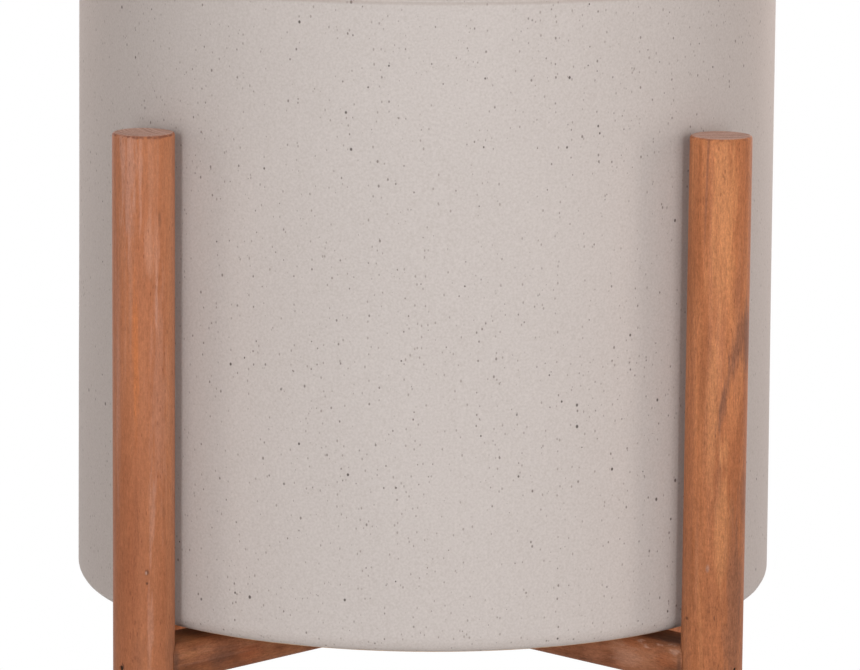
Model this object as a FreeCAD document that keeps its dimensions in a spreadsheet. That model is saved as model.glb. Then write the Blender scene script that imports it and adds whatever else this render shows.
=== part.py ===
import FreeCAD, Part
import os

import Sketcher

# A round stoneware planter that stands on two half-lapped cross rails between four turned
# wooden legs. Millimetres, +Z up, origin on the floor under the middle of the pot.
# Each arm of the stand is drawn along +X and then turned about Z to its own corner.

SIZES = {
    # pot
    "pot_rim_radius": 176.0,
    "pot_flare": 1.5,
    "pot_body_height": 319.0,
    "pot_wall": 8.0,
    "pot_floor": 10.0,
    "pot_corner_round": 10.0,
    "pot_inner_round": 9.0,
    "pot_lip_round": 3.2,
    "foot_ring_height": 2.0,
    "foot_ring_inset": 20.0,
    "foot_ring_width": 14.0,
    "foot_ring_round": 1.0,
    "drain_radius": 9.0,
    # stopper in the drain hole
    "plug_clearance": 0.08,
    "plug_taper": 1.0,
    "plug_shank_length": 8.0,
    "plug_head_radius": 15.0,
    "plug_head_height": 3.5,
    "plug_neck_radius": 3.5,
    "plug_knob_radius": 6.0,
    "plug_knob_height": 9.0,
    "plug_round": 1.0,
    # legs
    "leg_radius": 15.25,
    "leg_length": 396.0,
    "leg_above_rail": 253.0,
    "leg_edge_round": 1.6,
    "leg_pot_gap": 4.2,
    # cross rails
    "rail_width": 27.0,
    "rail_height": 19.5,
    "rail_edge_round": 4.5,
    "cope_gap": 0.1,
    "lap_gap": 0.1,
    # dowels between rails and legs
    "dowel_radius": 5.0,
    "dowel_length": 36.0,
    "dowel_in_leg": 19.0,
    "dowel_chamfer": 1.0,
    "glue_gap": 0.05,
    "bore_end_gap": 0.5,
    # brads that lock the dowels
    "brad_radius": 1.0,
    "brad_length": 28.0,
    "brad_head_radius": 1.3,
    "brad_head_height": 1.5,
    "brad_set_depth": 1.0,
    # pads between the rails and the pot
    "pad_radius": 7.0,
    "pad_height": 1.5,
    "pad_round": 0.6,
    # glides under the legs
    "glide_radius": 12.0,
    "glide_height": 4.0,
    "glide_round": 1.2,
    "nail_radius": 1.3,
    "nail_length": 17.0,
    "nail_head_radius": 4.0,
    "nail_head_height": 1.2,
    "nail_head_recess": 1.8,
    "nail_point_length": 3.0,
    # screw that clamps the half lap
    "screw_radius": 2.0,
    "screw_length": 16.0,
    "screw_head_radius": 4.0,
    "screw_head_height": 2.2,
    "screw_head_sink": 0.4,
    "screw_point_length": 3.0,
    "screw_slot_width": 1.1,
    "screw_slot_length": 4.6,
    "screw_slot_depth": 1.4,
    # how far a cutting outline runs past the face that it opens
    "cut_overrun": 2.0,
}

FULL_TURN = 360.0
HALF_SHARE = 0.5
QUARTER_SHARE = 0.25
KNOB_NECK_SHARE = 0.4

# the arms of the stand lie a quarter turn apart, with +X half way between the first two
CORNER_NAMES = ("front_right", "rear_right", "rear_left", "front_left")
CORNERS = {
    corner: FULL_TURN * QUARTER_SHARE * (place - HALF_SHARE)
    for place, corner in enumerate(CORNER_NAMES)
}

doc = FreeCAD.newDocument("planter_with_stand")
sheet = doc.addObject("Spreadsheet::Sheet", "sizes")
for row, (alias, value) in enumerate(SIZES.items(), start=1):
    sheet.set(f"A{row}", alias)
    sheet.set(f"B{row}", str(value))
    sheet.setAlias(f"B{row}", alias)
doc.recompute()


class Size:
    """A length that carries its value and the sheet expression that gives it."""

    def __init__(self, value, text):
        self.value = value
        self.text = text

    def __add__(self, other):
        return Size(self.value + other.value, f"({self.text} + {other.text})")

    def __sub__(self, other):
        return Size(self.value - other.value, f"({self.text} - {other.text})")

    def __mul__(self, share):
        return Size(self.value * share, f"({self.text} * {share})")

    def __neg__(self):
        return Size(-self.value, f"(-1 * {self.text})")


def size(alias):
    return Size(float(sheet.get(alias)), f"sizes.{alias}")


ZERO = Size(0.0, "0")

# heights above the floor
leg_bottom = size("glide_height")
leg_top = leg_bottom + size("leg_length")
rail_top = leg_top - size("leg_above_rail")
rail_bottom = rail_top - size("rail_height")
rail_middle = rail_top - size("rail_height") * HALF_SHARE
pot_seat = rail_top + size("pad_height")
pot_underside = pot_seat + size("foot_ring_height")
pot_inside = pot_underside + size("pot_floor")
pot_rim = pot_underside + size("pot_body_height")

# radii from the middle of the pot
pot_low_radius = size("pot_rim_radius") + size("pot_flare")
foot_outer = pot_low_radius - size("foot_ring_inset")
foot_inner = foot_outer - size("foot_ring_width")
pad_ring = foot_outer - size("foot_ring_width") * HALF_SHARE
leg_ring = pot_low_radius + size("leg_pot_gap") + size("leg_radius")
leg_inner_face = leg_ring - size("leg_radius")
leg_outer_face = leg_ring + size("leg_radius")
dowel_outer_end = leg_inner_face + size("dowel_in_leg")
dowel_inner_end = dowel_outer_end - size("dowel_length")
brad_outer_end = leg_outer_face - size("brad_set_depth")
brad_inner_end = brad_outer_end - size("brad_length")


def new_body(name, turn=0.0):
    """A body turned about the upright axis by turn degrees."""
    body = doc.addObject("PartDesign::Body", name)
    body.Label = name
    body.Placement = FreeCAD.Placement(
        FreeCAD.Vector(0, 0, 0), FreeCAD.Rotation(FreeCAD.Vector(0, 0, 1), turn)
    )
    return body


def origin_plane(body, role):
    return next(item for item in body.Origin.OriginFeatures if item.Role == role)


def new_sketch(body, name, role, offset=ZERO):
    """A sketch on one of the body's origin planes, moved along that plane's normal."""
    sketch = body.newObject("Sketcher::SketchObject", f"{body.Name}_{name}")
    sketch.AttachmentSupport = [(origin_plane(body, role), "")]
    sketch.MapMode = "FlatFace"
    sketch.setExpression("AttachmentOffset.Base.z", offset.text)
    return sketch


def fix_point(sketch, item, end, across, up):
    """Holds one point of a sketch at its distances from the sketch's origin."""
    for kind, axis, length in (("DistanceX", -2, across), ("DistanceY", -1, up)):
        if length.value == 0:
            sketch.addConstraint(Sketcher.Constraint("PointOnObject", item, end, axis))
            continue
        rule = Sketcher.Constraint(kind, -1, 1, item, end, length.value)
        index = sketch.addConstraint(rule)
        sketch.setExpression(f"Constraints[{index}]", length.text)


def draw_outline(sketch, corners):
    """A closed outline of straight lines through the corners."""
    points = [FreeCAD.Vector(across.value, up.value, 0) for across, up in corners]
    count = len(points)
    for index, start in enumerate(points):
        sketch.addGeometry(Part.LineSegment(start, points[(index + 1) % count]), False)
    for index in range(count):
        following = (index + 1) % count
        sketch.addConstraint(Sketcher.Constraint("Coincident", index, 2, following, 1))
    for index, (across, up) in enumerate(corners):
        fix_point(sketch, index, 1, across, up)


def draw_rectangle(sketch, left, low, right, high):
    draw_outline(sketch, [(left, low), (right, low), (right, high), (left, high)])


def draw_circle(sketch, radius, across=ZERO, up=ZERO):
    centre = FreeCAD.Vector(across.value, up.value, 0)
    normal = FreeCAD.Vector(0, 0, 1)
    item = sketch.addGeometry(Part.Circle(centre, normal, radius.value), False)
    index = sketch.addConstraint(Sketcher.Constraint("Radius", item, radius.value))
    sketch.setExpression(f"Constraints[{index}]", radius.text)
    fix_point(sketch, item, 3, across, up)


def pad(body, sketch, length, midplane=False):
    feature = body.newObject("PartDesign::Pad", f"{sketch.Name}_pad")
    feature.Profile = sketch
    feature.SideType = "Symmetric" if midplane else "One side"
    feature.setExpression("Length", length.text)
    doc.recompute()
    return feature


def pocket(body, sketch, length, along_normal=True):
    """Cuts a sketch into the body, and makes sure that something was cut."""
    before = body.Tip.Shape.Volume
    feature = body.newObject("PartDesign::Pocket", f"{sketch.Name}_pocket")
    feature.Profile = sketch
    feature.Reversed = along_normal
    feature.setExpression("Length", length.text)
    doc.recompute()
    if not feature.Shape.Volume < before:
        raise RuntimeError(f"{feature.Name} cuts nothing")
    return feature


def revolve(body, sketch):
    """Turns an upright half outline about the body's own Z axis."""
    feature = body.newObject("PartDesign::Revolution", f"{sketch.Name}_turned")
    feature.Profile = sketch
    feature.ReferenceAxis = (sketch, ["V_Axis"])
    feature.Angle = FULL_TURN
    doc.recompute()
    return feature


def edge_names(feature, wanted):
    return [f"Edge{n}" for n, edge in enumerate(feature.Shape.Edges, start=1) if wanted(edge)]


def is_level_circle(edge, radius, height):
    """True for a level circular edge of this radius at this height."""
    curve = edge.Curve
    if not isinstance(curve, Part.Circle):
        return False
    near = FreeCAD.Base.Precision.confusion()
    same_radius = abs(curve.Radius - radius.value) < near
    same_height = abs(curve.Center.z - height.value) < near
    return same_radius and same_height and abs(curve.Axis.z) > 1 - near


def dress_circles(body, kind, name, circles, length):
    """A fillet or a chamfer on level circular edges, each given by radius and height."""
    tip = body.Tip

    def wanted(edge):
        return any(is_level_circle(edge, radius, height) for radius, height in circles)

    edges = edge_names(tip, wanted)
    if len(edges) != len(circles):
        raise RuntimeError(f"{body.Name} {name}: {len(edges)} edges of {len(circles)}")
    feature = body.newObject(f"PartDesign::{kind}", f"{body.Name}_{name}")
    feature.Base = (tip, edges)
    feature.setExpression("Radius" if kind == "Fillet" else "Size", length.text)
    doc.recompute()
    return feature


def make_pot():
    """Straight stoneware pot with a foot ring, a rounded lip and a drain hole."""
    body = new_body("pot")
    low = pot_low_radius
    rim = size("pot_rim_radius")
    wall = size("pot_wall")
    drain = size("drain_radius")
    section = new_sketch(body, "section", "XZ_Plane")
    draw_outline(section, [
        (drain, pot_underside),
        (foot_inner, pot_underside),
        (foot_inner, pot_seat),
        (foot_outer, pot_seat),
        (foot_outer, pot_underside),
        (low, pot_underside),
        (rim, pot_rim),
        (rim - wall, pot_rim),
        (low - wall, pot_inside),
        (drain, pot_inside),
    ])
    revolve(body, section)
    dress_circles(body, "Fillet", "corner", [(low, pot_underside)], size("pot_corner_round"))
    dress_circles(body, "Fillet", "inner", [(low - wall, pot_inside)], size("pot_inner_round"))
    lip = [(rim, pot_rim), (rim - wall, pot_rim)]
    dress_circles(body, "Fillet", "lip", lip, size("pot_lip_round"))
    ring = [(foot_inner, pot_seat), (foot_outer, pot_seat)]
    dress_circles(body, "Fillet", "ring", ring, size("foot_ring_round"))
    return body


def make_drain_plug():
    """Soft stopper that drops into the drain hole and lifts out by its knob."""
    body = new_body("drain_plug")
    top_radius = size("drain_radius") - size("plug_clearance")
    tip_radius = top_radius - size("plug_taper")
    head = size("plug_head_radius")
    neck = size("plug_neck_radius")
    knob = size("plug_knob_radius")
    tip = pot_inside - size("plug_shank_length")
    head_top = pot_inside + size("plug_head_height")
    knob_low = head_top + size("plug_knob_height") * KNOB_NECK_SHARE
    knob_top = head_top + size("plug_knob_height")
    section = new_sketch(body, "section", "XZ_Plane")
    draw_outline(section, [
        (ZERO, tip),
        (tip_radius, tip),
        (top_radius, pot_inside),
        (head, pot_inside),
        (head, head_top),
        (neck, head_top),
        (neck, knob_low),
        (knob, knob_low),
        (knob, knob_top),
        (ZERO, knob_top),
    ])
    revolve(body, section)
    rounds = [(head, head_top), (knob, knob_low), (knob, knob_top), (tip_radius, tip)]
    dress_circles(body, "Fillet", "rounds", rounds, size("plug_round"))
    return body


def make_leg(corner, turn):
    """Turned leg, bored for its dowel, for the brad behind it and for the glide's nail."""
    body = new_body(f"leg_{corner}", turn)
    radius = size("leg_radius")
    outline = new_sketch(body, "outline", "XY_Plane", leg_bottom)
    draw_circle(outline, radius, leg_ring)
    pad(body, outline, size("leg_length"))
    ends = [(radius, leg_top), (radius, leg_bottom)]
    dress_circles(body, "Fillet", "ends", ends, size("leg_edge_round"))

    dowel = new_sketch(body, "dowel_bore", "YZ_Plane", dowel_inner_end)
    draw_circle(dowel, size("dowel_radius") + size("glue_gap"), ZERO, rail_middle)
    pocket(body, dowel, size("dowel_length") + size("bore_end_gap"))
    brad = new_sketch(body, "brad_bore", "YZ_Plane", dowel_outer_end)
    draw_circle(brad, size("brad_head_radius") + size("glue_gap"), ZERO, rail_middle)
    pocket(body, brad, leg_outer_face - dowel_outer_end + size("cut_overrun"))
    nail = new_sketch(body, "nail_bore", "XY_Plane", leg_bottom)
    draw_circle(nail, size("nail_radius") + size("glue_gap"), leg_ring)
    depth = size("nail_length") + size("nail_head_recess") - size("glide_height")
    pocket(body, nail, depth + size("bore_end_gap"))
    return body


def make_rail(name, turn, notch_on_top):
    """Cross rail with rounded edges, ends coped to the legs and a half lap in the middle."""
    body = new_body(name, turn)
    half_width = size("rail_width") * HALF_SHARE
    section = new_sketch(body, "section", "YZ_Plane")
    draw_rectangle(section, -half_width, rail_bottom, half_width, rail_top)
    bar = pad(body, section, leg_ring * 2, midplane=True)
    long_edges = edge_names(bar, lambda edge: edge.Length > leg_ring.value)
    rounding = body.newObject("PartDesign::Fillet", f"{name}_rounding")
    rounding.Base = (bar, long_edges)
    rounding.setExpression("Radius", size("rail_edge_round").text)
    doc.recompute()

    notch = new_sketch(body, "notch", "XY_Plane", rail_middle)
    notch_half = half_width + size("lap_gap")
    beyond = half_width + size("cut_overrun")
    draw_rectangle(notch, -notch_half, -beyond, notch_half, beyond)
    notch_depth = size("rail_height") * HALF_SHARE + size("cut_overrun")
    pocket(body, notch, notch_depth, along_normal=notch_on_top)

    for side, sign in (("far", 1), ("near", -1)):
        cope = new_sketch(body, f"cope_{side}", "XY_Plane", rail_bottom - size("cut_overrun"))
        draw_circle(cope, size("leg_radius") + size("cope_gap"), leg_ring * sign)
        pocket(body, cope, size("rail_height") + size("cut_overrun") * 2)
        start = (dowel_inner_end - size("bore_end_gap")) * sign
        bore = new_sketch(body, f"dowel_bore_{side}", "YZ_Plane", start)
        draw_circle(bore, size("dowel_radius") + size("glue_gap"), ZERO, rail_middle)
        pocket(body, bore, size("dowel_length"), along_normal=sign > 0)
    return body


def make_lower_rail():
    """The rail whose notch is on top, with the countersunk hole for the lap's screw."""
    body = make_rail("cross_rail_lower", CORNERS["rear_right"], notch_on_top=True)
    hole = new_sketch(body, "screw_hole", "XY_Plane", rail_bottom)
    draw_circle(hole, size("screw_radius") + size("lap_gap"))
    pocket(body, hole, size("rail_height"))
    mouth = size("screw_head_radius") + size("lap_gap")
    shank = size("screw_radius") + size("lap_gap")
    head_low = rail_bottom + size("screw_head_sink")
    head_top = head_low + size("screw_head_height")
    sink = new_sketch(body, "countersink", "XZ_Plane")
    draw_outline(sink, [
        (ZERO, rail_bottom - size("cut_overrun")),
        (mouth, rail_bottom - size("cut_overrun")),
        (mouth, head_low),
        (shank, head_top),
        (ZERO, head_top),
    ])
    before = body.Tip.Shape.Volume
    groove = body.newObject("PartDesign::Groove", "countersink_groove")
    groove.Profile = sink
    groove.ReferenceAxis = (sink, ["V_Axis"])
    groove.Angle = FULL_TURN
    doc.recompute()
    if not groove.Shape.Volume < before:
        raise RuntimeError("the countersink cuts nothing")
    return body


def make_upper_rail():
    """The rail whose notch is underneath, with the pilot hole for the lap's screw."""
    body = make_rail("cross_rail_upper", CORNERS["rear_left"], notch_on_top=False)
    pilot = new_sketch(body, "pilot_hole", "XY_Plane", rail_middle)
    draw_circle(pilot, size("screw_radius") + size("glue_gap"))
    in_lower = size("rail_height") * HALF_SHARE - size("screw_head_sink")
    pocket(body, pilot, size("screw_length") - in_lower + size("bore_end_gap"))
    return body


def make_dowel(corner, turn):
    """Round dowel that joins a rail's end to its leg, drilled for the brad."""
    body = new_body(f"dowel_{corner}", turn)
    outline = new_sketch(body, "outline", "YZ_Plane", dowel_inner_end)
    draw_circle(outline, size("dowel_radius"), ZERO, rail_middle)
    rod = pad(body, outline, size("dowel_length"))
    rims = edge_names(rod, lambda edge: isinstance(edge.Curve, Part.Circle))
    chamfer = body.newObject("PartDesign::Chamfer", f"dowel_{corner}_chamfer")
    chamfer.Base = (rod, rims)
    chamfer.setExpression("Size", size("dowel_chamfer").text)
    doc.recompute()
    start = brad_inner_end - size("bore_end_gap")
    bore = new_sketch(body, "brad_bore", "YZ_Plane", start)
    draw_circle(bore, size("brad_radius") + size("glue_gap"), ZERO, rail_middle)
    pocket(body, bore, dowel_outer_end - start + size("cut_overrun"))
    return body


def make_brad(corner, turn):
    """Headed brad, driven through the leg's outer face into the dowel and set below it."""
    body = new_body(f"brad_{corner}", turn)
    shank = new_sketch(body, "shank", "YZ_Plane", brad_inner_end)
    draw_circle(shank, size("brad_radius"), ZERO, rail_middle)
    pad(body, shank, size("brad_length"))
    head = new_sketch(body, "head", "YZ_Plane", brad_outer_end - size("brad_head_height"))
    draw_circle(head, size("brad_head_radius"), ZERO, rail_middle)
    pad(body, head, size("brad_head_height"))
    return body


def make_pad(corner, turn):
    """Soft disc on the rail, under the pot's foot ring."""
    body = new_body(f"pot_pad_{corner}", turn)
    outline = new_sketch(body, "outline", "XY_Plane", rail_top)
    draw_circle(outline, size("pad_radius"), pad_ring)
    pad(body, outline, size("pad_height"))
    upper_edge = [(size("pad_radius"), pot_seat)]
    dress_circles(body, "Fillet", "edge", upper_edge, size("pad_round"))
    return body


def make_glide(corner, turn):
    """Round glide under a leg, counterbored from below for its nail."""
    body = new_body(f"leg_glide_{corner}", turn)
    outline = new_sketch(body, "outline", "XY_Plane")
    draw_circle(outline, size("glide_radius"), leg_ring)
    pad(body, outline, size("glide_height"))
    lower_edge = [(size("glide_radius"), ZERO)]
    dress_circles(body, "Fillet", "edge", lower_edge, size("glide_round"))
    recess = new_sketch(body, "nail_head_recess", "XY_Plane")
    draw_circle(recess, size("nail_head_radius") + size("glue_gap"), leg_ring)
    pocket(body, recess, size("nail_head_recess"))
    bore = new_sketch(body, "nail_bore", "XY_Plane")
    draw_circle(bore, size("nail_radius") + size("glue_gap"), leg_ring)
    pocket(body, bore, size("glide_height"))
    return body


def make_nail(corner, turn):
    """Flat-headed nail that holds a glide, with its head up inside the glide."""
    body = new_body(f"nail_{corner}", turn)
    head_top = size("nail_head_recess")
    head_low = head_top - size("nail_head_height")
    tip = head_top + size("nail_length")
    taper_start = tip - size("nail_point_length")
    section = new_sketch(body, "section", "XZ_Plane")
    shank = leg_ring + size("nail_radius")
    draw_outline(section, [
        (leg_ring, head_low),
        (leg_ring + size("nail_head_radius"), head_low),
        (leg_ring + size("nail_head_radius"), head_top),
        (shank, head_top),
        (shank, taper_start),
        (leg_ring, tip),
    ])
    axis = section.addGeometry(Part.LineSegment(
        FreeCAD.Vector(leg_ring.value, head_low.value, 0),
        FreeCAD.Vector(leg_ring.value, tip.value, 0),
    ), True)
    fix_point(section, axis, 1, leg_ring, head_low)
    fix_point(section, axis, 2, leg_ring, tip)
    feature = body.newObject("PartDesign::Revolution", f"nail_{corner}_turned")
    feature.Profile = section
    feature.ReferenceAxis = (section, ["Axis0"])
    feature.Angle = FULL_TURN
    doc.recompute()
    return body


def make_lap_screw():
    """Countersunk wood screw, driven up through the lap from below."""
    body = new_body("lap_screw")
    head_low = rail_bottom + size("screw_head_sink")
    head_top = head_low + size("screw_head_height")
    tip = head_low + size("screw_length")
    taper_start = tip - size("screw_point_length")
    section = new_sketch(body, "section", "XZ_Plane")
    draw_outline(section, [
        (ZERO, head_low),
        (size("screw_head_radius"), head_low),
        (size("screw_radius"), head_top),
        (size("screw_radius"), taper_start),
        (ZERO, tip),
    ])
    revolve(body, section)
    half_length = size("screw_slot_length") * HALF_SHARE
    half_width = size("screw_slot_width") * HALF_SHARE
    for name, across, along in (("slot_x", half_length, half_width),
                                ("slot_y", half_width, half_length)):
        slot = new_sketch(body, name, "XY_Plane", head_low)
        draw_rectangle(slot, -across, -along, across, along)
        pocket(body, slot, size("screw_slot_depth"))
    return body


def make_group(name, members):
    """One node that holds several like fasteners as separate solids."""
    group = doc.addObject("Part::Compound", name)
    group.Label = name
    group.Links = members
    doc.recompute()
    return group


def make_all():
    nodes = [make_pot(), make_drain_plug(), make_lower_rail(), make_upper_rail()]
    for corner, turn in CORNERS.items():
        nodes.append(make_leg(corner, turn))
        nodes.append(make_dowel(corner, turn))
        nodes.append(make_pad(corner, turn))
        nodes.append(make_glide(corner, turn))
    brads = [make_brad(corner, turn) for corner, turn in CORNERS.items()]
    nails = [make_nail(corner, turn) for corner, turn in CORNERS.items()]
    nodes.append(make_group("dowel_brads", brads))
    nodes.append(make_group("glide_nails", nails))
    nodes.append(make_lap_screw())
    return nodes


def check(nodes):
    doc.recompute()
    for item in doc.Objects:
        if "Invalid" in item.State or "Error" in item.State:
            raise RuntimeError(f"{item.Name} failed: {item.State}")
    for node in nodes:
        if node.Shape.isNull() or not node.Shape.isValid():
            raise RuntimeError(f"{node.Label} has no valid shape")


def write(nodes):
    os.makedirs("parts", exist_ok=True)
    for node in nodes:
        node.Shape.exportStep(f"parts/{node.Label}.step")


all_nodes = make_all()
check(all_nodes)
write(all_nodes)
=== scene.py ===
import math

import bmesh
import bpy
from mathutils import Matrix, Vector, noise


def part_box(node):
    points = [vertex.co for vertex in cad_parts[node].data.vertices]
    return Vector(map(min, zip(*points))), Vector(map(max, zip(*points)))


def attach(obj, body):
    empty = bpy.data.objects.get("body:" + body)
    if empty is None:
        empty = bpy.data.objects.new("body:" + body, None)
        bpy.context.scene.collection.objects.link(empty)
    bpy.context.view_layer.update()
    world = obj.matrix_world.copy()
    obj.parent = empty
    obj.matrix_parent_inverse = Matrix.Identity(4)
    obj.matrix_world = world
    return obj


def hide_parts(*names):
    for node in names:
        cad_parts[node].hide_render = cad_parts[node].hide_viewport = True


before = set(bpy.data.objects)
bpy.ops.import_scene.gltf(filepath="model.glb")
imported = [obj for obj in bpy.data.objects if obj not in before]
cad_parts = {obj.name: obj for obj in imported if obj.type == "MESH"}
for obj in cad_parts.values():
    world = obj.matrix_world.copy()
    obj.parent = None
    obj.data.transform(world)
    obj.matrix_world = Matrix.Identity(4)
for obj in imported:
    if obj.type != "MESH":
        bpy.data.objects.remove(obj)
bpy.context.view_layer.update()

# sizes of the pot, in metres
pot_low, pot_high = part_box("pot")
POT_FOOT = pot_low.z
POT_RIM = pot_high.z
POT_LOW_RADIUS = pot_high.x
POT_TAPER = 0.0015
POT_WALL = 0.008
POT_FLOOR = 0.010
FOOT_HEIGHT = 0.002
FOOT_INSET = 0.020
FOOT_WIDTH = 0.014
FOOT_ROUND = 0.001
FOOT_FILLET = 0.0008
DRAIN_RADIUS = 0.009
DRAIN_ROUND = 0.0005
OUTSIDE_ROUND = 0.010
INSIDE_ROUND = 0.009
LIP_OUTER_ROUND = 0.0024
LIP_INNER_ROUND = 0.0032
OUTLINE_STEP = 0.006
POT_AROUND = 288
# the unevenness of the wall and the rim, and the parts of the pot that have it
WALL_WAVE = 0.00018
WALL_FROM_RADIUS = 0.1
WALL_FROM_HEIGHT = 0.004
RIM_WAVE = 0.00016
RIM_BAND = 0.004
# the shallow groove round the outside under the lip, and how near to the outside it is cut
GROOVE_DEPTH = 0.00015
GROOVE_DROP = 0.0061
GROOVE_WIDTH = 0.0010
OUTER_BAND = 0.006
# scale and seed of the unevenness round the pot, and how far a metre of height moves through it
WALL_PATTERN = (1.3, 4.0)
RIM_PATTERN = (1.1, 9.0)
WALL_PATTERN_RISE = 6

# sizes of the stand, in metres
rail_low, rail_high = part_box("cross_rail_lower")
RAIL_MIDDLE = (rail_low.z + rail_high.z) / 2
CORNERS = ("front_right", "rear_right", "rear_left", "front_left")
LEG_AROUND = 160
LEG_ROWS = 64
LEG_EDGE = 0.0016
LEG_EDGE_STEPS = 8
LEG_SWELL = 0.00006
END_DISH = 0.00008
# how far from a leg's lower and upper end its even rows of points begin
LEG_ROWS_FROM = 0.004
LEG_ROWS_TO = 0.006
# the rings of points on a leg's ends, in shares of its radius
BOTTOM_SHARES = (0.4, 0.8)
TOP_SHARES = (0.8, 0.6, 0.4, 0.2)
# scales of the unevenness of a leg's round, eased edges, chips, dished top and brad hole
ROUND_SCALE = 1.2
EDGE_SCALE = 2.1
CHIP_SCALE = 5.0
DISH_SCALE = 2.5
HOLE_SCALE = 2.0
# how far a metre of height moves through the unevenness of the round
ROUND_RISE = 9
# the unevenness of a leg's eased edges and of its brad hole, as shares of their sizes
EDGE_SHARE = 0.3
HOLE_SHARE = 0.06
# the wear of the top edge: how quickly it fades away from the front, and its chips' mean and spread
WEAR_FADE = 1.5
CHIP_MEAN = 0.5
CHIP_SPREAD = 0.9
# edges that turn by more than this are sharp
SHARP_TURN = math.radians(40)
BRAD_AROUND = 28
BRAD_HOLE = 0.00135
BRAD_DEPTH = 0.0013
BRAD_OVERRUN = 0.0008
# the widest step along a rounded corner, and the fewest steps
ARC_STEP = math.radians(9)
ARC_PIECES = 4
# how far one seed moves a texture along each axis
SEED_STEP = (7.31, 3.17, 5.53)


# mesh helpers
def turns(count):
    """The angles of so many even steps round a circle."""
    return [math.tau * k / count for k in range(count)]


def rounded(corners, step):
    """A closed outline with its corners rounded: (across, up, radius) to many points."""
    points = []
    count = len(corners)
    for index, (across, up, radius) in enumerate(corners):
        here = Vector((across, up))
        before = Vector(corners[index - 1][:2])
        after = Vector(corners[(index + 1) % count][:2])
        back, on = (before - here).normalized(), (after - here).normalized()
        if radius == 0:
            points.append(here)
        else:
            half = back.angle(on) / 2
            reach = radius / math.tan(half)
            centre = here + (back + on).normalized() * (radius / math.sin(half))
            first, last = here + back * reach, here + on * reach
            one, two = first - centre, last - centre
            pieces = max(ARC_PIECES, int(abs(one.angle(two)) / ARC_STEP))
            sweep = one.angle_signed(two)
            for k in range(pieces + 1):
                points.append(centre + Matrix.Rotation(-sweep * k / pieces, 2) @ one)
    full = []
    for index, here in enumerate(points):
        after = points[(index + 1) % len(points)]
        pieces = max(1, int((after - here).length / step))
        full.extend(here.lerp(after, k / pieces) for k in range(pieces))
    return full


def skin(name, rings, close=False):
    """A mesh over rings of points; a ring of one point is a pole."""
    points, starts = [], []
    for ring in rings:
        starts.append(len(points))
        points.extend(ring)
    around = max(len(ring) for ring in rings)
    pairs = [(k, k + 1) for k in range(len(rings) - 1)]
    if close:
        pairs.append((len(rings) - 1, 0))
    faces = []
    for a, b in pairs:
        for i in range(around):
            j = (i + 1) % around
            low = [starts[a]] if len(rings[a]) == 1 else [starts[a] + i, starts[a] + j]
            top = [starts[b]] if len(rings[b]) == 1 else [starts[b] + j, starts[b] + i]
            faces.append(low + top)
    mesh = bpy.data.meshes.new(name)
    mesh.from_pydata(points, [], faces)
    made = bmesh.new()
    made.from_mesh(mesh)
    bmesh.ops.recalc_face_normals(made, faces=made.faces)
    made.to_mesh(mesh)
    made.free()
    mesh.shade_smooth()
    piece = bpy.data.objects.new(name, mesh)
    bpy.context.scene.collection.objects.link(piece)
    return piece


def wobble(x, y, z, scale, seed):
    """Smooth unevenness from -1 to 1."""
    return noise.noise(Vector((x * scale + seed, y * scale, z * scale)))


def cut(piece, cutter):
    """Takes the cutter away from the piece for good."""
    change = piece.modifiers.new("cut", "BOOLEAN")
    change.operation = "DIFFERENCE"
    change.solver = "EXACT"
    change.object = cutter
    graph = bpy.context.evaluated_depsgraph_get()
    result = bpy.data.meshes.new_from_object(piece.evaluated_get(graph))
    piece.modifiers.clear()
    piece.data = result
    bpy.data.objects.remove(cutter)


# material helpers
def paint(red, green, blue):
    """The linear colour of an sRGB one, 0 to 255."""
    out = []
    for part in (red, green, blue):
        part = part / 255
        out.append(part / 12.92 if part <= 0.04045 else ((part + 0.055) / 1.055) ** 2.4)
    return (*out, 1.0)


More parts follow.
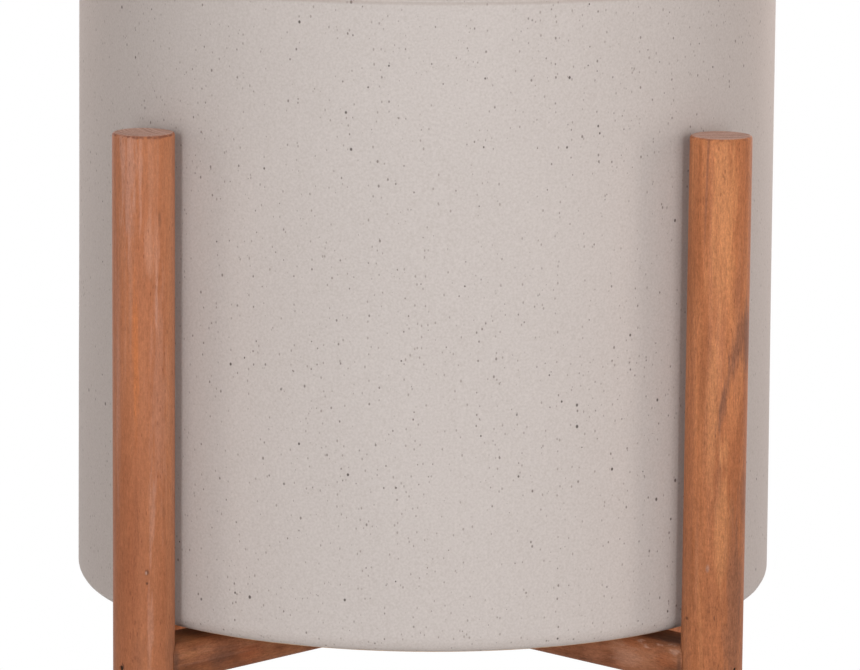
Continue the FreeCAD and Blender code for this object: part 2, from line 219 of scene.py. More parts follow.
class Look:
    """A material, and short ways to add nodes to it."""

    def __init__(self, name):
        self.material = bpy.data.materials.new(name)
        self.material.use_nodes = True
        self.tree = self.material.node_tree
        self.tree.nodes.clear()
        self.output = self.add("ShaderNodeOutputMaterial")
        self.shader = self.add("ShaderNodeBsdfPrincipled")
        self.tree.links.new(self.shader.outputs[0], self.output.inputs["Surface"])
        coordinates = self.add("ShaderNodeTexCoord")
        self.place = coordinates.outputs["Object"]
        self.facing = coordinates.outputs["Normal"]

    def add(self, kind, **settings):
        """A new node with these settings."""
        node = self.tree.nodes.new(kind)
        for key, value in settings.items():
            setattr(node, key, value)
        return node

    def put(self, socket, value):
        """Links the value to the socket, or sets it there."""
        if isinstance(value, bpy.types.NodeSocket):
            self.tree.links.new(value, socket)
        else:
            socket.default_value = value

    def calc(self, operation, *values):
        """The result of this operation on numbers."""
        node = self.add("ShaderNodeMath", operation=operation)
        for socket, value in zip(node.inputs, values):
            self.put(socket, value)
        return node.outputs[0]

    def total(self, start, *parts):
        """The start plus each part's value times its share."""
        for value, share in parts:
            start = self.calc("MULTIPLY_ADD", value, share, start)
        return start

    def vector(self, operation, *values):
        """The result of this operation on vectors."""
        node = self.add("ShaderNodeVectorMath", operation=operation)
        for socket, value in zip(node.inputs, values):
            self.put(socket, value)
        return node.outputs["Value"] if operation == "LENGTH" else node.outputs[0]

    def split(self, value):
        """The three parts of a vector."""
        node = self.add("ShaderNodeSeparateXYZ")
        self.put(node.inputs[0], value)
        return node.outputs

    def merge(self, x, y, z):
        """The vector of these three parts."""
        node = self.add("ShaderNodeCombineXYZ")
        for socket, value in zip(node.inputs, (x, y, z)):
            self.put(socket, value)
        return node.outputs[0]

    def scaled(self, place, scale, seed):
        """The place times the scale, in the seed's own part of a texture."""
        offset = tuple(seed * step for step in SEED_STEP)
        return self.vector("MULTIPLY_ADD", place, scale, offset)

    def noise(self, place, scale, seed, detail=2.0, roughness=0.5):
        """Noise from 0 to 1. The scale is how often it changes per metre, along each axis."""
        node = self.add("ShaderNodeTexNoise")
        self.put(node.inputs["Vector"], self.scaled(place, scale, seed))
        self.put(node.inputs["Scale"], 1.0)
        self.put(node.inputs["Detail"], detail)
        self.put(node.inputs["Roughness"], roughness)
        return node.outputs[0]

    def layer(self, place, scale, seed, detail=2.0, roughness=0.5):
        """The same noise from -0.5 to 0.5."""
        return self.calc("SUBTRACT", self.noise(place, scale, seed, detail, roughness), 0.5)

    def layers(self, start, place, seed, table, strength=1.0):
        """The start plus a table's layers: scale, what is added to the seed, and share."""
        for scale, shift, share in table:
            start = self.total(start, (self.layer(place, scale, seed + shift), share * strength))
        return start

    def cells(self, place, scale, seed):
        """The distance to the nearest of scattered points, and three random numbers of its own."""
        node = self.add("ShaderNodeTexVoronoi")
        self.put(node.inputs["Vector"], self.scaled(place, scale, seed))
        self.put(node.inputs["Scale"], 1.0)
        return node.outputs["Distance"], self.split(node.outputs["Color"])

    def ease(self, value, low, high, start=0.0, end=1.0):
        """Eases from start to end as value goes from low to high."""
        node = self.add("ShaderNodeMapRange", interpolation_type="SMOOTHSTEP")
        for socket, item in zip(node.inputs, (value, low, high, start, end)):
            self.put(socket, item)
        return node.outputs[0]

    def mix(self, share, one, two, blend="MIX"):
        """The first colour with this share of the second over it.

        Inputs 6 and 7 and output 2 of the node are its colours.
        """
        node = self.add("ShaderNodeMix", data_type="RGBA", blend_type=blend)
        self.put(node.inputs[0], share)
        self.put(node.inputs[6], one)
        self.put(node.inputs[7], two)
        return node.outputs[2]

    def ramp(self, value, stops, colours):
        """The colours at these stops of the value, and even changes between them."""
        node = self.add("ShaderNodeValToRGB")
        self.put(node.inputs[0], value)
        bar = node.color_ramp
        while len(bar.elements) < len(stops):
            bar.elements.new(0.5)
        for element, at, colour in zip(bar.elements, stops, colours):
            element.position = at
            element.color = colour
        return node.outputs[0]

    def bump(self, height, distance):
        """The facing of a surface with this relief; a height of 1 is so many metres."""
        node = self.add("ShaderNodeBump")
        self.put(node.inputs["Height"], height)
        self.put(node.inputs["Distance"], distance)
        return node.outputs[0]

    def finish(self, colour, roughness, normal=None, **fixed):
        """The material, with its colour, roughness, bump and fixed shader values."""
        self.put(self.shader.inputs["Base Color"], colour)
        self.put(self.shader.inputs["Roughness"], roughness)
        if normal is not None:
            self.put(self.shader.inputs["Normal"], normal)
        for key, value in fixed.items():
            self.put(self.shader.inputs[key.replace("_", " ")], value)
        return self.material


def dress(piece, material):
    """Gives the piece this material alone."""
    piece.data.materials.clear()
    piece.data.materials.append(material)


# the materials
GLAZE_TONES = (paint(187, 178, 173), paint(195, 187, 183), paint(202, 194, 190))
CLAY_TONES = (paint(168, 132, 102), paint(205, 172, 140), paint(222, 196, 166))
# cell and radius in metres, share of cells with a speckle, stretch over the height, seed,
# strength and colour of the faint, middle and strong speckles
SPECKLES = (
    (0.0026, 0.00042, 0.80, 0.6, 4.0, 0.46, paint(118, 104, 96)),
    (0.0042, 0.00052, 0.62, 0.7, 2.0, 0.64, paint(96, 83, 77)),
    (0.0080, 0.00070, 0.44, 0.8, 1.0, 0.86, paint(72, 61, 57)),
)
# least size of a speckle and how much larger it can be, in shares of its kind's radius, and the
# share of it that is fully dark
SPECKLE_LEAST_SHARE = 0.55
SPECKLE_SPREAD_SHARE = 0.9
SPECKLE_CORE_SHARE = 0.45
GLAZE_STOPS = (0.38, 0.60, 0.82)
CLAY_STOPS = (0.32, 0.5, 0.7)
# the darker band round the lip: how far under the rim it begins and ends, each eased
DARK_BAND_LOW = (0.0038, 0.0025)
DARK_BAND_HIGH = (0.0013, 0.0021)
DARK_BAND_STRENGTH = 0.42
DARK_BAND_COLOUR = paint(168, 152, 144)
# where the glaze ends above the foot ring, how uneven that line is, and how soft
BARE_ABOVE = 0.0004
BARE_UNEVEN = 0.0011
BARE_SOFT = 0.0004
GLAZE_BUMP = 0.00012


def speckles(look, crowd, cell, radius, share, stretch, seed):
    """Where one kind of speckle shows; crowd says how many of them do."""
    distance, random = look.cells(look.place, (1 / cell, 1 / cell, stretch / cell), seed)
    size = look.calc("MULTIPLY_ADD", random[1], SPECKLE_SPREAD_SHARE * radius / cell,
                     SPECKLE_LEAST_SHARE * radius / cell)
    core = look.calc("MULTIPLY", size, SPECKLE_CORE_SHARE)
    spot = look.ease(distance, core, size, start=1.0, end=0.0)
    shown = look.calc("LESS_THAN", random[0], look.calc("MULTIPLY", crowd, share))
    return look.calc("MULTIPLY", spot, shown)


def stoneware():
    """Matte warm grey glaze with dark iron speckles, over buff clay."""
    look = Look("stoneware_glaze")
    place = look.place
    crowd = look.ease(look.noise(place, (11, 11, 11), seed=3.0), 0.3, 0.7, start=0.45, end=1.55)
    kinds = [speckles(look, crowd, *kind[:5]) for kind in SPECKLES]
    cloud = look.noise(place, (26, 26, 18), seed=5.0, detail=3.0, roughness=0.55)
    grain = look.noise(place, (900, 900, 900), seed=6.0)
    tone = look.total(0.14, (cloud, 0.12), (grain, 0.80))
    glaze = look.ramp(tone, GLAZE_STOPS, GLAZE_TONES)
    for kind, (*_, strength, tint) in zip(kinds, SPECKLES):
        glaze = look.mix(look.calc("MULTIPLY", kind, strength), glaze, tint)

    height = look.split(place)[2]
    # a darker band round the lip, just under the rim
    dark_band = look.calc("MULTIPLY", look.ease(height, *(POT_RIM - under for under in DARK_BAND_LOW)),
                     look.ease(height, *(POT_RIM - under for under in DARK_BAND_HIGH)))
    glaze = look.mix(look.calc("MULTIPLY", dark_band, DARK_BAND_STRENGTH), glaze, DARK_BAND_COLOUR)

    # bare clay on the foot ring, under an uneven edge of the glaze
    edge = look.noise(place, (90, 90, 90), seed=8.0, detail=3.0)
    line = look.total(POT_FOOT + FOOT_HEIGHT + BARE_ABOVE, (edge, BARE_UNEVEN))
    bare = look.ease(height, line, look.calc("ADD", line, BARE_SOFT), start=1.0, end=0.0)
    grit = look.noise(place, (420, 420, 420), seed=9.0, detail=4.0, roughness=0.65)
    colour = look.mix(bare, glaze, look.ramp(grit, CLAY_STOPS, CLAY_TONES))

    soft = look.noise(place, (260, 260, 260), seed=10.0, detail=3.0)
    spots = look.calc("ADD", look.calc("ADD", kinds[2], kinds[1]), kinds[0])
    sandy = look.calc("MULTIPLY", bare, grit)
    relief = look.total(soft, (grain, 0.25), (spots, -0.5), (sandy, 1.6))
    rough = look.total(0.52, (bare, 0.3), (cloud, 0.10))
    return look.finish(colour, rough, look.bump(relief, GLAZE_BUMP), Specular_IOR_Level=0.12)


WOOD_STOPS = (0.12, 0.5, 0.88)
# layers of noise: scales across, across and along the grain, what is added to the seed, and share
BROAD_GRAIN = (((50, 50, 8), 4, 0.42), ((230, 230, 16), 12, 0.22))
FINE_GRAIN = (((2100, 2100, 320), 13, 0.50), ((1100, 1100, 420), 15, 0.38),
              ((1500, 1500, 1000), 16, 0.42), ((560, 560, 150), 18, 0.28))
# how the year rings bend, as layers with metres as the share, how far they run out per metre along
# the grain, how often they change per metre, and how far one seed moves them
RING_BENDS = (((14, 14, 3.2), 0, 0.022), ((60, 60, 9), 1, 0.003))
RING_SLOPE = 0.018
RINGS_PER_METRE = 420.0
RING_SEED_STEP = 11
# painted shade: the heights between which a leg's shade changes, darker towards the foot
LEG_SHADE_HEIGHTS = (0.14, 0.40)
# a marking whose half height in metres is above this ends in long fibres
LONG_MARK = 0.007
# the shares of a marking's half sizes between which it fades
MARK_EDGE_SHARES = (0.25, 1.0)
PALE_WASH = paint(186, 142, 122)
OPEN_PORE = paint(112, 62, 42)
END_GRAIN = (paint(162, 120, 104), paint(188, 148, 132), paint(206, 170, 154))
END_STOPS = (0.3, 0.5, 0.72)
# painted shade: the dark line on the eased edge round a leg's ends
PAINTED_EDGE_SHADE = paint(118, 70, 54)
WOOD_BUMP = 0.00015


def along_grain(look, rail_turn):
    """The place with its last value along the grain; rail_turn is a rail's turn about the upright."""
    if rail_turn is None:
        return look.place
    turned = look.split(look.place)
    cosine, sine = math.cos(rail_turn), math.sin(rail_turn)
    along = look.total(look.calc("MULTIPLY", turned[0], cosine), (turned[1], sine))
    side = look.total(look.calc("MULTIPLY", turned[0], -sine), (turned[1], cosine))
    return look.merge(side, look.calc("SUBTRACT", turned[2], RAIL_MIDDLE), along)


def year_rings(look, grain, seed, pith):
    """Light and dark rings round the pith, about -0.5 to 0.5."""
    parts = look.split(grain)
    off = look.vector("SUBTRACT", look.merge(parts[0], parts[1], 0.0), (*pith, 0.0))
    depth = look.layers(look.vector("LENGTH", off), grain, seed, RING_BENDS)
    depth = look.total(depth, (parts[2], RING_SLOPE))
    bands = look.add("ShaderNodeTexNoise", noise_dimensions="1D")
    look.put(bands.inputs["W"],
             look.calc("MULTIPLY_ADD", depth, RINGS_PER_METRE, seed * RING_SEED_STEP))
    look.put(bands.inputs["Scale"], 1.0)
    look.put(bands.inputs["Detail"], 3.0)
    return look.calc("SUBTRACT", bands.outputs[0], 0.5)


def add_marks(look, grain, seed, colour, marks):
    """The colour with the markings over it."""
    rag = look.layer(grain, (420, 420, 130), seed + 9, detail=3.0)
    fibres = look.layer(grain, (520, 520, 40), seed + 14, detail=4.0, roughness=0.7)
    for at, spread, lean, tint, strength, ragged in marks:
        off = look.split(look.vector("SUBTRACT", grain, at))
        aside = look.total(off[0], (off[2], -lean))
        off = look.vector("DIVIDE", look.merge(aside, off[1], off[2]), spread)
        edge = fibres if spread[2] > LONG_MARK else rag
        reach = look.total(look.vector("LENGTH", off), (edge, ragged))
        share = look.ease(reach, *MARK_EDGE_SHARES, start=strength, end=0.0)
        colour = look.mix(share, colour, tint)
    return colour


def open_pores(look, grain, seed, pores):
    """Where short open pores show, closer together in some places than in others."""
    distance, random = look.cells(grain, (900, 900, 230), seed + 7)
    pore = look.ease(distance, 0.16, 0.34, start=1.0, end=0.0)
    pore = look.calc("MULTIPLY", pore, look.calc("LESS_THAN", random[0], pores))
    crowd = look.ease(look.noise(grain, (120, 120, 22), seed + 8), 0.42, 0.62)
    return look.calc("MULTIPLY", pore, look.total(0.2, (crowd, 0.8)))


def bare_ends(look, grain, seed, rings, colour, height, edge_shade):
    """The colour and relief with bare end grain on a leg's ends, and painted shade as a dark line on
    the eased edge round them.
    """
    facing = look.calc("ABSOLUTE", look.split(look.facing)[2])
    end = look.ease(facing, 0.80, 0.97)
    fleck = look.noise(grain, (1900, 1900, 60), seed + 10, detail=3.0, roughness=0.6)
    colour = look.mix(end, colour, look.ramp(look.total(fleck, (rings, 0.8)), END_STOPS, END_GRAIN))
    # painted shade on the eased edge round the ends, broken into patches
    rim = look.calc("MULTIPLY", look.ease(facing, 0.22, 0.6), look.ease(facing, 0.97, 0.75))
    patches = look.noise(grain, (260, 260, 260), seed + 11, detail=3.0)
    rim = look.calc("MULTIPLY", rim, look.ease(patches, 0.42, 0.6))
    colour = look.mix(look.calc("MULTIPLY", rim, edge_shade), colour, PAINTED_EDGE_SHADE)
    return colour, look.total(height, (look.calc("MULTIPLY", end, fleck), 0.8))


def wood(name, seed, tones, pale, figure, long=1.0, short=1.0, pores=0.3,
         rail_turn=None, pith=(0.034, 0.022), blotch=0.0, height_shade=None, marks=(), edge_shade=None):
    """Oiled hardwood with its grain along the piece, and bare end grain at a leg's ends.

    pale is the strength of the pale wash, figure of the year rings, long and short of the fine
    grain, pores the share of open pores, blotch the strength of short dark and light patches, and
    edge_shade of the painted shade line on the eased edge round a leg's ends. pith is the middle
    of the year rings. height_shade gives the painted shade at the two heights of
    LEG_SHADE_HEIGHTS, darker towards the foot. rail_turn is the turn of a rail about the upright.
    """
    look = Look(name)
    grain = along_grain(look, rail_turn)
    rings = year_rings(look, grain, seed, pith)
    streak = look.layer(grain, (560, 560, 26), seed + 3)
    fibre = look.layer(grain, (1300, 1300, 90), seed + 2)
    value = look.layers(look.total(0.5, (rings, 0.50 * figure)), grain, seed, BROAD_GRAIN)
    if blotch:
        patch = look.layer(grain, (95, 95, 45), seed + 17, detail=3.0)
        value = look.total(value, (patch, blotch))
    colour = look.ramp(value, WOOD_STOPS, tones)

    wash = look.noise(grain, (240, 240, 5), seed + 5, detail=4.0, roughness=0.6)
    where = look.noise(grain, (34, 34, 6), seed + 6)
    wash = look.ease(look.total(wash, (where, 0.9)), 0.96, 1.22)
    colour = look.mix(look.calc("MULTIPLY", wash, pale), colour, PALE_WASH)
    colour = add_marks(look, grain, seed, colour, marks)

    # where given, painted shade darkens a leg towards its foot, and the fine grain darkens and
    # lightens whatever colour lies under it
    shade = look.ease(look.split(grain)[2], *LEG_SHADE_HEIGHTS, *height_shade) if height_shade else 1.0
    shade = look.total(shade, (streak, 0.22 * long), (fibre, 0.24 * long))
    shade = look.layers(shade, grain, seed, FINE_GRAIN, short)
    colour = look.mix(1.0, colour, look.merge(shade, shade, shade), "MULTIPLY")

    pore = open_pores(look, grain, seed, pores)
    colour = look.mix(look.calc("MULTIPLY", pore, 0.55), colour, OPEN_PORE)
    height = look.total(look.calc("MULTIPLY", streak, 0.7), (fibre, 0.8), (pore, -0.6))
    if edge_shade is not None:
        colour, height = bare_ends(look, grain, seed, rings, colour, height, edge_shade)
    rough = look.total(0.55, (streak, 0.2), (wash, 0.12))
    return look.finish(colour, rough, look.bump(height, WOOD_BUMP), Specular_IOR_Level=0.15)


PLAIN_STOPS = (0.35, 0.65)
RUBBER_BUMP = 0.00006
STEEL_BUMP = 0.00003


def rubber(name, low, high, rough):
    """Moulded rubber or nylon with a fine grain."""
    look = Look(name)
    cloud = look.noise(look.place, (160, 160, 160), seed=2.0, detail=3.0)
    fine = look.noise(look.place, (1700, 1700, 1700), seed=4.0)
    mixed = look.total(look.calc("MULTIPLY", cloud, 0.5), (fine, 0.5))
    colour = look.ramp(mixed, PLAIN_STOPS, (low, high))
    roughness = look.total(rough, (cloud, 0.2))
    return look.finish(colour, roughness, look.bump(fine, RUBBER_BUMP), Specular_IOR_Level=0.35)


def steel(name, low, high, rough):
    """Drawn steel with fine lines along the shank."""
    look = Look(name)
    drawn = look.noise(look.place, (2600, 2600, 160), seed=2.0, detail=3.0)
    cloud = look.noise(look.place, (320, 320, 320), seed=5.0, detail=3.0)
    colour = look.ramp(cloud, PLAIN_STOPS, (low, high))
    roughness = look.total(rough, (drawn, 0.22))
    return look.finish(colour, roughness, look.bump(drawn, STEEL_BUMP), Metallic=1.0)


# the pot
def make_pot():
    """The glazed pot, hollow, with its lip, foot ring and drain hole."""
    top_radius = POT_LOW_RADIUS - POT_TAPER
    under = POT_FOOT + FOOT_HEIGHT
    floor = under + POT_FLOOR
    foot_out = POT_LOW_RADIUS - FOOT_INSET
    foot_in = foot_out - FOOT_WIDTH
    outline = rounded([
        (DRAIN_RADIUS, under, DRAIN_ROUND),
        (foot_in, under, FOOT_FILLET),
        (foot_in, POT_FOOT, FOOT_ROUND),
        (foot_out, POT_FOOT, FOOT_ROUND),
        (foot_out, under, FOOT_FILLET),
        (POT_LOW_RADIUS, under, OUTSIDE_ROUND),
        (top_radius, POT_RIM, LIP_OUTER_ROUND),
        (top_radius - POT_WALL, POT_RIM, LIP_INNER_ROUND),
        (POT_LOW_RADIUS - POT_WALL, floor, INSIDE_ROUND),
        (DRAIN_RADIUS, floor, DRAIN_ROUND),
    ], OUTLINE_STEP)
    rings = []
    for across, up in outline:
        ring = []
        groove = GROOVE_DEPTH * math.exp(-((POT_RIM - GROOVE_DROP - up) / GROOVE_WIDTH) ** 2)
        outer = across > POT_LOW_RADIUS - OUTER_BAND
        for turn in turns(POT_AROUND):
            x, y = math.cos(turn), math.sin(turn)
            reach = across
            if across > WALL_FROM_RADIUS and up > under + WALL_FROM_HEIGHT:
                reach -= WALL_WAVE * (1 + wobble(x, y, up * WALL_PATTERN_RISE, *WALL_PATTERN))
                reach -= groove if outer else 0
            high = up
            if up > POT_RIM - RIM_BAND:
                high -= RIM_WAVE * (1 + wobble(x, y, 0, *RIM_PATTERN))
            ring.append((x * reach, y * reach, high))
        rings.append(ring)
    pot = skin("pot_glazed", rings, close=True)
    dress(pot, stoneware())
    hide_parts("pot")
    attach(pot, "pot")


# the legs
LEG_TONES = {
    "front_left": (paint(146, 84, 56), paint(173, 109, 75), paint(191, 127, 90)),
    "front_right": (paint(126, 71, 43), paint(170, 106, 69), paint(205, 139, 94)),
    "rear_left": (paint(136, 76, 44), paint(180, 110, 70), paint(208, 138, 90)),
    "rear_right": (paint(138, 78, 45), paint(182, 111, 70), paint(210, 140, 90)),
}
DARK_SPOT = paint(84, 50, 38)
GREY_STAIN = paint(128, 86, 66)
PINK = paint(184, 138, 120)
PALE_STREAK = paint(198, 154, 136)
GOLD = paint(206, 142, 94)
ORANGE = paint(196, 116, 66)
# centre, half sizes, lean (aside per height), colour, strength and raggedness of each marking
LEG_MARKS = {
    "front_left": (
        ((-0.0073, -0.0145, 0.388), (0.0056, 0.012, 0.050), 0.0, PINK, 0.55, 3.0),
        ((-0.0010, -0.0150, 0.380), (0.0014, 0.012, 0.034), 0.0, PALE_STREAK, 0.30, 3.0),
        # painted light: the side facing the pot made lighter along the whole leg
        ((0.0134, -0.0072, 0.280), (0.0048, 0.012, 0.220), 0.0, paint(206, 140, 102), 0.44, 1.2),
        ((-0.0122, -0.0110, 0.280), (0.0018, 0.012, 0.080), 0.0, PINK, 0.40, 1.8),
        ((0.0065, -0.0140, 0.318), (0.0016, 0.012, 0.019), 0.0, PALE_STREAK, 0.36, 3.2),
        ((0.0078, -0.0135, 0.274), (0.0062, 0.012, 0.066), 0.0, PINK, 0.26, 3.2),
        ((-0.0034, -0.0150, 0.292), (0.0020, 0.012, 0.045), 0.0, ORANGE, 0.60, 2.0),
        ((-0.0060, -0.0145, 0.208), (0.0060, 0.012, 0.060), 0.0, paint(154, 92, 62), 0.50, 2.6),
        ((0.0040, -0.0145, 0.345), (0.0050, 0.012, 0.022), 0.0, paint(196, 142, 116), 0.45, 2.6),
        ((0.0045, -0.0150, 0.213), (0.0020, 0.012, 0.024), 0.0, PALE_STREAK, 0.26, 3.6),
        ((0.0036, -0.0150, 0.160), (0.0018, 0.012, 0.018), 0.0, PALE_STREAK, 0.24, 3.6),
        ((-0.0026, -0.0150, 0.144), (0.0044, 0.012, 0.018), 0.0, paint(146, 92, 66), 0.50, 2.4),
        ((0.0134, -0.0076, 0.144), (0.0040, 0.012, 0.020), 0.0, paint(130, 86, 64), 0.32, 1.6),
        ((0.0082, -0.0130, 0.3595), (0.0008, 0.012, 0.006), 0.0, GREY_STAIN, 0.60, 0.9),
        ((0.0100, -0.0120, 0.2146), (0.0009, 0.012, 0.0035), 0.0, GREY_STAIN, 0.35, 1.4),
        ((0.0022, -0.0152, 0.1862), (0.0014, 0.004, 0.0024), 0.0, DARK_SPOT, 0.75, 0.9),
        ((0.0016, -0.0153, 0.1858), (0.0008, 0.004, 0.0013), 0.0, paint(190, 156, 140), 0.6, 0.4),
        ((0.0020, -0.0152, 0.1806), (0.0008, 0.004, 0.0011), 0.0, DARK_SPOT, 0.85, 0.3),
        ((-0.0098, -0.0116, 0.1386), (0.0006, 0.004, 0.0024), -0.25, DARK_SPOT, 0.8, 0.5),
    ),
    "front_right": (
        ((0.0008, -0.0150, 0.360), (0.0088, 0.012, 0.074), 0.0, GOLD, 0.46, 2.0),
        ((-0.0030, -0.0148, 0.268), (0.0044, 0.012, 0.046), 0.0, GOLD, 0.36, 2.2),
        # painted light: the side facing the pot made lighter along the whole leg
        ((-0.0132, -0.0080, 0.250), (0.0048, 0.012, 0.190), 0.0, paint(190, 126, 92), 0.28, 1.6),
        ((-0.0080, -0.0132, 0.282), (0.0030, 0.012, 0.028), 0.0, paint(146, 90, 60), 0.50, 2.0),
        ((0.0030, -0.0150, 0.205), (0.0060, 0.012, 0.038), 0.0, GOLD, 0.45, 2.4),
        ((-0.0074, -0.0132, 0.382), (0.0009, 0.012, 0.052), 0.02, paint(134, 88, 68), 0.62, 1.4),
        ((0.0104, -0.0110, 0.304), (0.0056, 0.012, 0.024), 0.30, GREY_STAIN, 0.74, 2.6),
        ((0.0045, -0.0145, 0.283), (0.0025, 0.012, 0.026), 0.20, GREY_STAIN, 0.66, 2.8),
        ((0.0026, -0.0150, 0.271), (0.0022, 0.012, 0.018), 0.14, paint(120, 78, 59), 0.60, 2.6),
        ((0.0000, -0.0150, 0.230), (0.0020, 0.012, 0.020), 0.06, GREY_STAIN, 0.22, 2.6),
        ((0.0034, -0.0150, 0.247), (0.0030, 0.012, 0.013), 0.0, GOLD, 0.44, 2.0),
        ((0.0134, -0.0076, 0.299), (0.0040, 0.012, 0.020), 0.0, paint(120, 79, 60), 0.85, 2.0),
        ((0.0080, -0.0130, 0.325), (0.0034, 0.012, 0.016), 0.0, paint(140, 88, 62), 0.48, 2.2),
        ((-0.0132, -0.0078, 0.334), (0.0042, 0.012, 0.040), 0.0, paint(132, 76, 46), 0.42, 1.8),
        ((0.0136, -0.0070, 0.222), (0.0038, 0.012, 0.020), 0.0, paint(120, 78, 58), 0.50, 1.8),
        ((0.0094, -0.0118, 0.166), (0.0076, 0.012, 0.076), 0.0, paint(136, 90, 67), 0.78, 1.8),
        ((-0.0040, -0.0147, 0.189), (0.0013, 0.006, 0.0028), 0.0, paint(178, 140, 122), 0.55, 0.9),
        ((-0.0132, -0.0080, 0.1626), (0.0010, 0.006, 0.0012), 0.0, DARK_SPOT, 0.7, 0.5),
        ((-0.0003, -0.0152, 0.1643), (0.0006, 0.006, 0.0020), 0.0, DARK_SPOT, 0.6, 0.5),
    ),
    "rear_left": (
        ((0.0060, 0.0130, 0.230), (0.0016, 0.005, 0.0034), 0.0, DARK_SPOT, 0.7, 0.9),
        ((-0.0040, 0.0145, 0.300), (0.0050, 0.012, 0.060), 0.0, GOLD, 0.5, 1.4),
    ),
    "rear_right": (
        ((-0.0040, 0.0140, 0.330), (0.0030, 0.006, 0.0180), 0.15, GREY_STAIN, 0.5, 1.2),
        ((0.0030, 0.0145, 0.250), (0.0050, 0.012, 0.070), 0.0, PINK, 0.4, 1.6),
    ),
}
# seed, pale, figure, long, short, pores, pith and height_shade (painted shade, darker towards the
# foot), as for wood(), of each leg
LEG_GRAIN = {
    "front_left": (11.0, 0.32, 0.20, 0.66, 0.88, 0.12, (0.05, 0.03), (0.88, 1.0)),
    "front_right": (23.0, 0.15, 0.85, 1.0, 1.42, 0.45, (-0.010, 0.034), (0.96, 1.10)),
    "rear_left": (37.0, 0.3, 0.8, 0.9, 1.2, 0.30, (0.02, -0.03), (0.92, 1.04)),
    "rear_right": (49.0, 0.25, 0.7, 0.9, 1.3, 0.25, (-0.03, -0.02), (0.92, 1.04)),
}
# depth of the wear on the top edge's front, and strength of the painted shade line round the ends
WORN_LEG = (0.0020, 0.85)
PLAIN_LEG = (0.0008, 0.35)


def turned_leg(name, radius, bottom, top, seed, worn):
    """A leg round the upright axis, with eased edges and a top edge worn at the front."""
    around = turns(LEG_AROUND)

    def point(turn, inward, drop, up):
        """The point so far inward from the leg's outside at this height, then so far down."""
        x, y = math.cos(turn), math.sin(turn)
        swell = LEG_SWELL * (wobble(x, y, up * ROUND_RISE, ROUND_SCALE, seed) - 1)
        reach = radius + swell - inward
        return (x * reach, y * reach, up - drop)

    def edge_size(turn, at_top):
        """How far the eased edge reaches in and down."""
        x, y = math.cos(turn), math.sin(turn)
        size = LEG_EDGE * (1 + EDGE_SHARE * wobble(x, y, 0, EDGE_SCALE, seed + 3))
        if at_top:
            front = max(0.0, -y) ** WEAR_FADE
            chip = CHIP_MEAN + CHIP_SPREAD * wobble(x, y, 0, CHIP_SCALE, seed + 8)
            size += worn * front * max(0.0, chip)
        return size

    def dish(turn, share):
        """How far the top lies low at this share of the radius."""
        x, y = math.cos(turn) * share, math.sin(turn) * share
        return END_DISH * (1 + wobble(x, y, 0, DISH_SCALE, seed))

    rings = [[(0, 0, bottom)]]
    for share in BOTTOM_SHARES:
        rings.append([point(turn, radius * (1 - share), 0, bottom) for turn in around])
    arcs = [math.pi / 2 * step / LEG_EDGE_STEPS for step in range(LEG_EDGE_STEPS + 1)]
    sizes = [edge_size(turn, False) for turn in around]
    for arc in arcs:
        rings.append([point(turn, size * (1 - math.sin(arc)), -size * (1 - math.cos(arc)), bottom)
                      for turn, size in zip(around, sizes)])
    first, last = bottom + LEG_ROWS_FROM, top - LEG_ROWS_TO
    for row in range(LEG_ROWS + 1):
        up = first + (last - first) * row / LEG_ROWS
        rings.append([point(turn, 0, 0, up) for turn in around])
    sizes = [edge_size(turn, True) for turn in around]
    for arc in arcs:
        rings.append([point(turn, size * (1 - math.cos(arc)), size * (1 - math.sin(arc)), top)
                      for turn, size in zip(around, sizes)])
    for share in TOP_SHARES:
        rings.append([point(turn, radius * (1 - share), dish(turn, share), top)
                      for turn in around])
    rings.append([(0, 0, top - END_DISH)])
    return skin(name, rings)


def brad_cutter(middle, radius, seed):
    """What is cut away over a leg's brad: a slightly uneven round on the leg's outer side."""
    out = Vector((middle.x, middle.y, 0)).normalized()
    side = Vector((-out.y, out.x, 0))
    start = out * (radius - BRAD_DEPTH)
    hole = []
    for reach in (0.0, BRAD_DEPTH * 0.5, BRAD_DEPTH + BRAD_OVERRUN):
        ring = []
        for turn in turns(BRAD_AROUND):
            x, y = math.cos(turn), math.sin(turn)
            size = BRAD_HOLE * (1 + HOLE_SHARE * wobble(x, y, 0, HOLE_SCALE, seed + 5))
            across, up = size * x, size * y
            spot = start + out * reach + side * across + Vector((0, 0, RAIL_MIDDLE + up))
            ring.append(tuple(spot))
        hole.append(ring)
    near = tuple(start + Vector((0, 0, RAIL_MIDDLE)))
    far = tuple(start + out * (BRAD_DEPTH + BRAD_OVERRUN) + Vector((0, 0, RAIL_MIDDLE)))
    return skin("cutter", [[near], *hole, [far]])


def make_leg(corner, seed, pale, figure, long, short, pores, pith, height_shade):
    """A turned leg in its place, with a shallow hole over its brad."""
    low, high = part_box(f"leg_{corner}")
    middle = (low + high) / 2
    radius = (high.x - low.x) / 2
    worn, edge_shade = WORN_LEG if corner == "front_left" else PLAIN_LEG
    leg = turned_leg(f"leg_{corner}_turned", radius, low.z, high.z, seed, worn)
    leg.location = (middle.x, middle.y, 0)
    cutter = brad_cutter(middle, radius, seed)
    cutter.location = leg.location
    bpy.context.view_layer.update()
    cut(leg, cutter)
    leg.data.shade_smooth()
    leg.data.set_sharp_from_angle(angle=SHARP_TURN)

    dress(leg, wood(f"leg_wood_{corner}", seed, LEG_TONES[corner], pale, figure, long, short, pores,
                    pith=pith, height_shade=height_shade, marks=LEG_MARKS[corner], edge_shade=edge_shade))
    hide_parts(f"leg_{corner}")
    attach(leg, "stand")


